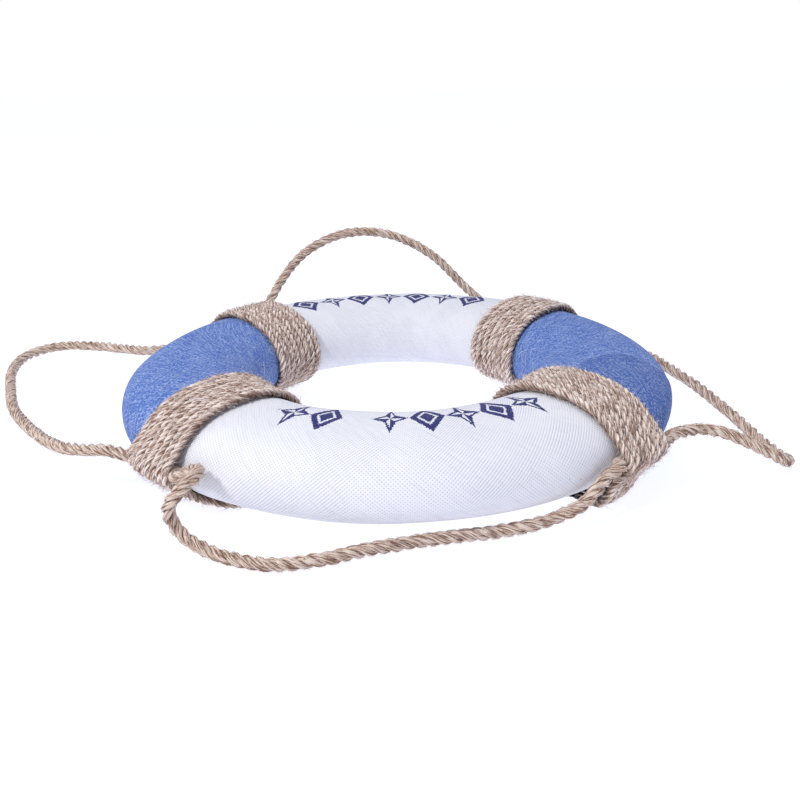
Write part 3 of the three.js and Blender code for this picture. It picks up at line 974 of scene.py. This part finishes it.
class LIFEBUOY_OT_covers(bpy.types.Operator):
    """Stretches the two white canvas and two blue cotton covers over the foam"""

    bl_idname = "lifebuoy.covers"
    bl_label = "Stretch the Covers"

    # Where the top edge of the right cover's second piece of cloth runs: the angle round
    # the tube from its outer side, and the angle round the ring, in degrees.
    RIGHT_LAP = (
        (-130, -50, 0, 33, 48, 63, 83, 105, 118, 150, 240),
        (-13, -12, -11.4, -10.7, -9.3, -9.1, -10.9, -14.6, -21.2, -38, -60),
    )
    RIGHT_LAP_RISE = 0.0007  # how much higher the second piece of cloth lies
    RIGHT_LAP_SLOPE = 0.0012  # the length in which it gets there
    LAP_START = math.radians(-128)  # where a cover's lap starts under the ring
    LAP_RAMP = 0.004  # the length in which the lap climbs on to the cover's first edge
    LAP_GAP = 0.00006  # between the two layers of a lap
    WEAVE_RADIUS = 0.16  # where the weave has its true scale along the ring

    def execute(self, context):
        scene = context.scene
        looks = scene.lifebuoy_finishes
        white = ("white_canvas", "white_cover", bleached_canvas(looks))
        blue = ("blue_cotton", "blue_cover", dyed_cotton(looks))
        for place, (slot, node, material), first, last in (
            ("front", white, "front_left", "front_right"),
            ("right", blue, "front_right", "back_right"),
            ("back", white, "back_right", "back_left"),
            ("left", blue, "back_left", "front_left"),
        ):
            piece, flat, area = self.cover(scene, f"{slot}_{place}", first, last, material)
            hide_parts(f"{node}_{place}")
            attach(piece, "ring")
        return {"FINISHED"}

    def cover(self, scene, name, first, last, material):
        """A strip of cloth, wrapped round the tube and lapped over itself underneath.

        Gives the piece, the width and length that it was cut to, and its area.
        """
        ring = scene.lifebuoy_ring
        half_width = scene.lifebuoy_cords.turns * scene.lifebuoy_cords.cord_diameter / 2
        # Angles round the tube at equal steps of cloth, from the lap's underside.
        fine = np.linspace(0, 2.3 * math.pi, 4000) + self.LAP_START
        radius, height = section(ring, fine, 0.0)
        walked = lengths(np.stack([radius, height, 0 * fine], axis=1))
        around_tube = np.interp(2 * math.pi, fine - fine[0], walked)
        width = around_tube + ring.cloth_lap
        columns = round(width / ring.cloth_step)
        cut = np.linspace(0, width, columns + 1)
        tube_angle = np.interp(cut, walked, fine)
        radius, _ = section(ring, tube_angle, 0.0)
        ends = []
        for corner, sign in ((first, 1), (last, -1)):
            angle, side = corner_angle(ring, corner)
            offset = side * half_width + sign * ring.seam_gap / 2
            ends.append(angle + np.arcsin(offset / radius))
        start, stop = ends
        stop = np.where(stop < start, stop + 2 * math.pi, stop)
        rows = round(float((stop - start).max()) * ring.ring_radius / ring.cloth_step)
        share = np.linspace(0, 1, rows + 1)[:, None]
        turn = start + share * (stop - start)
        wide = np.broadcast_to(tube_angle, turn.shape)
        random = np.random.default_rng(len(name) * 7)
        lift = self.unevenness(random, turn, wide) * smooth(8 * share) * smooth(8 * (1 - share))
        lap = smooth((cut - around_tube + self.LAP_RAMP) / self.LAP_RAMP)
        lap = lap * (ring.cloth_thickness + self.LAP_GAP)
        lift = lift + lap[None, :] - ring.cloth_sink
        beyond = np.full(turn.shape, -1.0)  # how far past a lap's edge, and -1 where none is
        if name == "blue_cotton_right":
            edge = np.radians(np.interp(np.degrees(tube_angle), *self.RIGHT_LAP))
            beyond = (edge[None, :] - turn) * radius
            lift = lift + self.RIGHT_LAP_RISE * smooth(beyond / self.RIGHT_LAP_SLOPE + 0.5)
        # The weave's own places: along the ring, and across it.
        top_at = np.interp(math.pi / 2, tube_angle, cut)
        across = np.broadcast_to(top_at - cut, turn.shape)
        cloth = np.stack([turn * self.WEAVE_RADIUS, across, 0 * turn], axis=-1)
        layers = []
        for sink in (0.0, ring.cloth_thickness):
            r, z = section(ring, wide, lift - sink)
            layers.append(np.stack([r * np.cos(turn), r * np.sin(turn), z], axis=-1))
        marks = self.print_places(name, turn, *section(ring, wide, 0.0), ring)
        pile = Pile()
        pile.put(
            np.concatenate([layer.reshape(-1, 3) for layer in layers]),
            self.shell_faces(rows + 1, columns + 1),
            cloth=np.concatenate([cloth.reshape(-1, 3)] * 2),
            print=np.concatenate([marks.reshape(-1, 3)] * 2),
            lap_edge=np.concatenate([beyond.ravel() / MM] * 2),
        )
        longest = float((stop - start).max()) * ring.ring_radius
        mean = float((stop - start).mean()) * tube_centre(ring)
        flat = (round(width, 4), round(longest, 4))
        return pile.piece(name, material), flat, round(mean * width, 5)

    def unevenness(self, random, turn, wide):
        """A soft rise of the cloth of up to about half a millimetre, in broad waves."""
        rise = 0
        for _ in range(7):
            waves = (random.integers(3, 14), random.integers(1, 5))
            phase = random.uniform(0, 2 * math.pi, 2)
            rise = rise + np.sin(waves[0] * turn + phase[0]) * np.sin(waves[1] * wide + phase[1])
        return 0.00009 * (rise + 2.2)

    def shell_faces(self, rows, columns):
        """Faces of a thin closed sheet: its outside, its inside and its four edges."""
        outer = np.arange(rows * columns).reshape(rows, columns)
        inner = outer + rows * columns
        quads = [
            np.stack([outer[:-1, 1:], outer[:-1, :-1], outer[1:, :-1], outer[1:, 1:]], axis=-1),
            np.stack([inner[:-1, :-1], inner[:-1, 1:], inner[1:, 1:], inner[1:, :-1]], axis=-1),
        ]
        edges = (
            (outer[0], inner[0]), (outer[:, -1], inner[:, -1]),
            (outer[-1][::-1], inner[-1][::-1]), (outer[::-1, 0], inner[::-1, 0]),
        )
        for o, i in edges:
            quads.append(np.stack([o[:-1], o[1:], i[1:], i[:-1]], axis=-1))
        return np.concatenate([q.reshape(-1, 4) for q in quads]).tolist()

    # The groups of printed marks on each white cover, in degrees round the ring: where one
    # mark's middle is, from one mark to the next, and where the group starts and ends.
    PRINT = {
        "white_canvas_front": ((-115.6, 8.5, -120.3, -102.85), (-74.0, 8.8, -96.05, -51.8)),
        "white_canvas_back": ((92.0, 9.5, 58.8, 125.2),),
    }
    # The radius at the middle of the marks, and half of a mark's size along the radius.
    PRINT_RADIUS = {"white_canvas_front": 0.1265, "white_canvas_back": 0.1345}
    PRINT_REACH = 0.0182

    def print_places(self, name, turn, radius, height, ring):
        """Where the stencil's marks lie: marks across, along a mark, and whether inked."""
        degrees = np.degrees(turn)
        degrees = np.where(degrees > 180, degrees - 360, degrees)
        along = (radius - self.PRINT_RADIUS.get(name, 0)) / self.PRINT_REACH
        above = height > ring.centre_height
        across, inked = 0 * degrees, 0 * degrees
        for middle, pitch, first, last in self.PRINT.get(name, ()):
            # The places go on a little past the group, so that its edge marks stay whole.
            near = (degrees > first - 3) & (degrees < last + 3)
            across = np.where(near, (degrees - middle) / pitch, across)
            inked = inked + (degrees > first) * (degrees < last)
        return np.stack([across, along, inked * above * 1.0], axis=-1)


class LIFEBUOY_OT_core(bpy.types.Operator):
    """Finishes the foam core and the rope that runs under the lashings"""

    bl_idname = "lifebuoy.core"
    bl_label = "Finish the Core"

    def execute(self, context):
        looks = context.scene.lifebuoy_finishes
        foam = polystyrene(looks)
        hidden = loose_thread("hidden_jute_rope", looks.jute)
        parts = {"foam_core": foam}
        parts.update({f"rope_under_lashing_{corner}": hidden for corner in CORNERS})
        for node, material in parts.items():
            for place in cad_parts[node].material_slots:
                place.link = "OBJECT"
                place.material = material
        return {"FINISHED"}


class LIFEBUOY_OT_loose_threads(bpy.types.Operator):
    """Adds the stray threads on the cloth"""

    bl_idname = "lifebuoy.loose_threads"
    bl_label = "Add Loose Threads"

    # Each thread's points: the angle round the ring and the angle round the tube.
    THREADS = {
        "left": [
            [(174.5, 166), (172.5, 171), (170.5, 177), (169.2, 182)],
            [(172.0, 163), (170.3, 169), (168.8, 176), (167.0, 181)],
            [(176.5, 169), (173.5, 174), (171.8, 180)],
            [(168.5, 165), (171.0, 171), (174.5, 175)],
            [(-153.0, 46), (-155.6, 55), (-158.5, 66), (-160.2, 76)],
            [(-160.8, 80), (-162.4, 90), (-165.5, 98)],
        ],
        "right": [
            [(21.5, 161), (18.8, 166), (16.0, 170), (13.0, 173)],
            [(17.5, 156), (15.2, 163), (12.4, 169), (10.0, 174)],
            [(20.0, 170), (17.4, 165), (13.5, 160), (10.5, 156)],
            [(13.0, 158), (10.8, 163), (8.6, 166)],
        ],
    }
    # The thread that comes over the edge of the front left lashing on to the canvas, with
    # its height above the cloth in millimetres.
    CANVAS_THREAD = [
        (-136.4, 57, 6.6), (-134.8, 60.5, 6.6), (-133, 64, 3.6), (-131.5, 70, 0.8),
        (-129.5, 77, 0.6),
    ]
    THREAD_LIFT = 0.00055  # how high the other threads' undersides lie above the CAD's face
    THREAD_STEP = 0.0006  # between two rings of a thread's mesh
    THREAD_SIDES = 6

    def execute(self, context):
        scene = context.scene
        ring, looks = scene.lifebuoy_ring, scene.lifebuoy_finishes
        pale = loose_thread("pale_cotton_thread", linear("#C4D2F0"))
        white = loose_thread("bleached_cotton_thread", linear("#F3F0EE"))
        for side, routes in self.THREADS.items():
            self.threads(ring, f"loose_threads_{side}", routes, 0.00013, pale, "blue_cotton")
        routes = [self.CANVAS_THREAD]
        self.threads(ring, "loose_thread_front", routes, 0.0003, white, "white_canvas")
        return {"FINISHED"}

    def threads(self, ring, name, routes, thick, material, slot):
        """Thin threads lying on the cloth, as one piece."""
        pile = Pile()
        for route in routes:
            values = np.array(route, float)
            turn, tube = np.radians(values[:, :2]).T
            lift = values[:, 2] * MM if values.shape[1] > 2 else self.THREAD_LIFT
            r, z = section(ring, tube, lift + thick)
            line = np.stack([r * np.cos(turn), r * np.sin(turn), z], axis=1)
            line = resample(catmull_rom(line, 10), self.THREAD_STEP)
            _, out, beside = carried_frames(line)
            around = np.linspace(0, 2 * math.pi, self.THREAD_SIDES, endpoint=False)
            around = around[None, :, None]
            away = np.cos(around) * out[:, None] + np.sin(around) * beside[:, None]
            rings = line[:, None] + thick * away
            pile.put(rings.reshape(-1, 3), tube_faces(len(line), self.THREAD_SIDES))
        piece = pile.piece(name, material)
        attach(piece, "ring")


class LIFEBUOY_PT_panel(bpy.types.Panel):
    """Lists the lifebuoy's steps and settings"""

    bl_idname = "LIFEBUOY_PT_panel"
    bl_label = "Ring Lifebuoy"
    bl_space_type = "VIEW_3D"
    bl_region_type = "UI"
    bl_category = "Lifebuoy"

    def draw(self, context):
        for step in STEPS:
            self.layout.operator(step.bl_idname)
        for group in SETTINGS:
            box = self.layout.box()
            values = getattr(context.scene, group)
            for name in values.__annotations__:
                box.prop(values, name)


STEPS = (
    LIFEBUOY_OT_stage,
    LIFEBUOY_OT_grab_rope,
    LIFEBUOY_OT_lashings,
    LIFEBUOY_OT_covers,
    LIFEBUOY_OT_loose_threads,
    LIFEBUOY_OT_core,
)
SETTINGS = {
    "lifebuoy_ring": RingSizes,
    "lifebuoy_cords": CordSizes,
    "lifebuoy_finishes": Finishes,
    "lifebuoy_stage": StageSizes,
}


def register():
    """Registers the settings, the steps and the panel."""
    for cls in (*SETTINGS.values(), *STEPS, LIFEBUOY_PT_panel):
        bpy.utils.register_class(cls)
    for name, cls in SETTINGS.items():
        setattr(bpy.types.Scene, name, bpy.props.PointerProperty(type=cls))


def unregister():
    """Takes them away again."""
    for name in SETTINGS:
        delattr(bpy.types.Scene, name)
    for cls in (LIFEBUOY_PT_panel, *STEPS[::-1], *SETTINGS.values()):
        bpy.utils.unregister_class(cls)


def main():
    """Builds the lifebuoy and its stage."""
    register()
    bpy.ops.lifebuoy.stage()
    bpy.ops.lifebuoy.grab_rope()
    bpy.ops.lifebuoy.lashings()
    bpy.ops.lifebuoy.covers()
    bpy.ops.lifebuoy.loose_threads()
    bpy.ops.lifebuoy.core()


if __name__ == "__main__":
    main()
